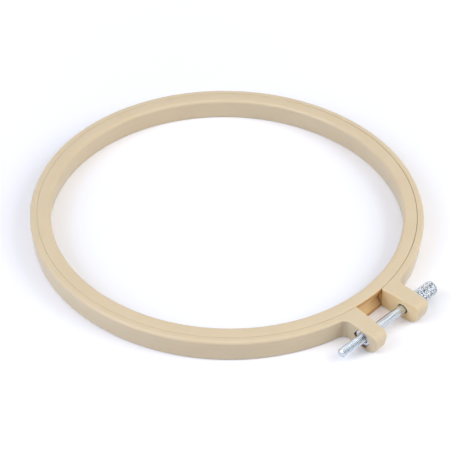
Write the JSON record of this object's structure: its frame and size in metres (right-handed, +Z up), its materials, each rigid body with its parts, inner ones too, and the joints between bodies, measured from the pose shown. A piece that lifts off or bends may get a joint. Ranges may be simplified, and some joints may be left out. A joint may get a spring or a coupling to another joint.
{
  "type": "embroidery hoop",
  "caption": "Round two-ring hoop that clamps fabric in its seam; the split outer ring is closed by a knurled thumbscrew and a captive nut.",
  "frame": {"origin": "centre of the hoop, on the plane that it lies on", "axes": "+Z up out of the fabric's field, -Y towards the lugs, +X towards the thumbscrew's head"},
  "size_m": [0.1698, 0.1848, 0.0105],
  "materials": {
    "outer_ring": "satin moulded plastic",
    "inner_ring": "satin moulded plastic",
    "thumbscrew": "bright zinc plate",
    "nut": "bright zinc plate"
  },
  "bodies": {
    "outer_ring": {"outer_ring": "outer_ring"},
    "inner_ring": {"inner_ring": "inner_ring"},
    "thumbscrew": {"thumbscrew": "thumbscrew"},
    "nut": {"nut": "nut"}
  },
  "joints": [
    {"name": "inner_ring_turn", "type": "hinge", "parent": "outer_ring", "child": "inner_ring", "pos_m": [0, 0, 0.00525], "axis": [0, 0, 1], "continuous": true},
    {"name": "screw_turn", "type": "hinge", "parent": "outer_ring", "child": "thumbscrew", "pos_m": [0, -0.092, 0.00525], "axis": [1, 0, 0], "range_deg": [0, 1440]},
    {"name": "nut_slide", "type": "slide", "parent": "outer_ring", "child": "nut", "axis": [-1, 0, 0], "range_m": [0, 0.0028]}
  ],
  "couplings": [
    {"joint": "screw_turn", "follows": "nut_slide", "rad_per_m": 8975.9}
  ]
}
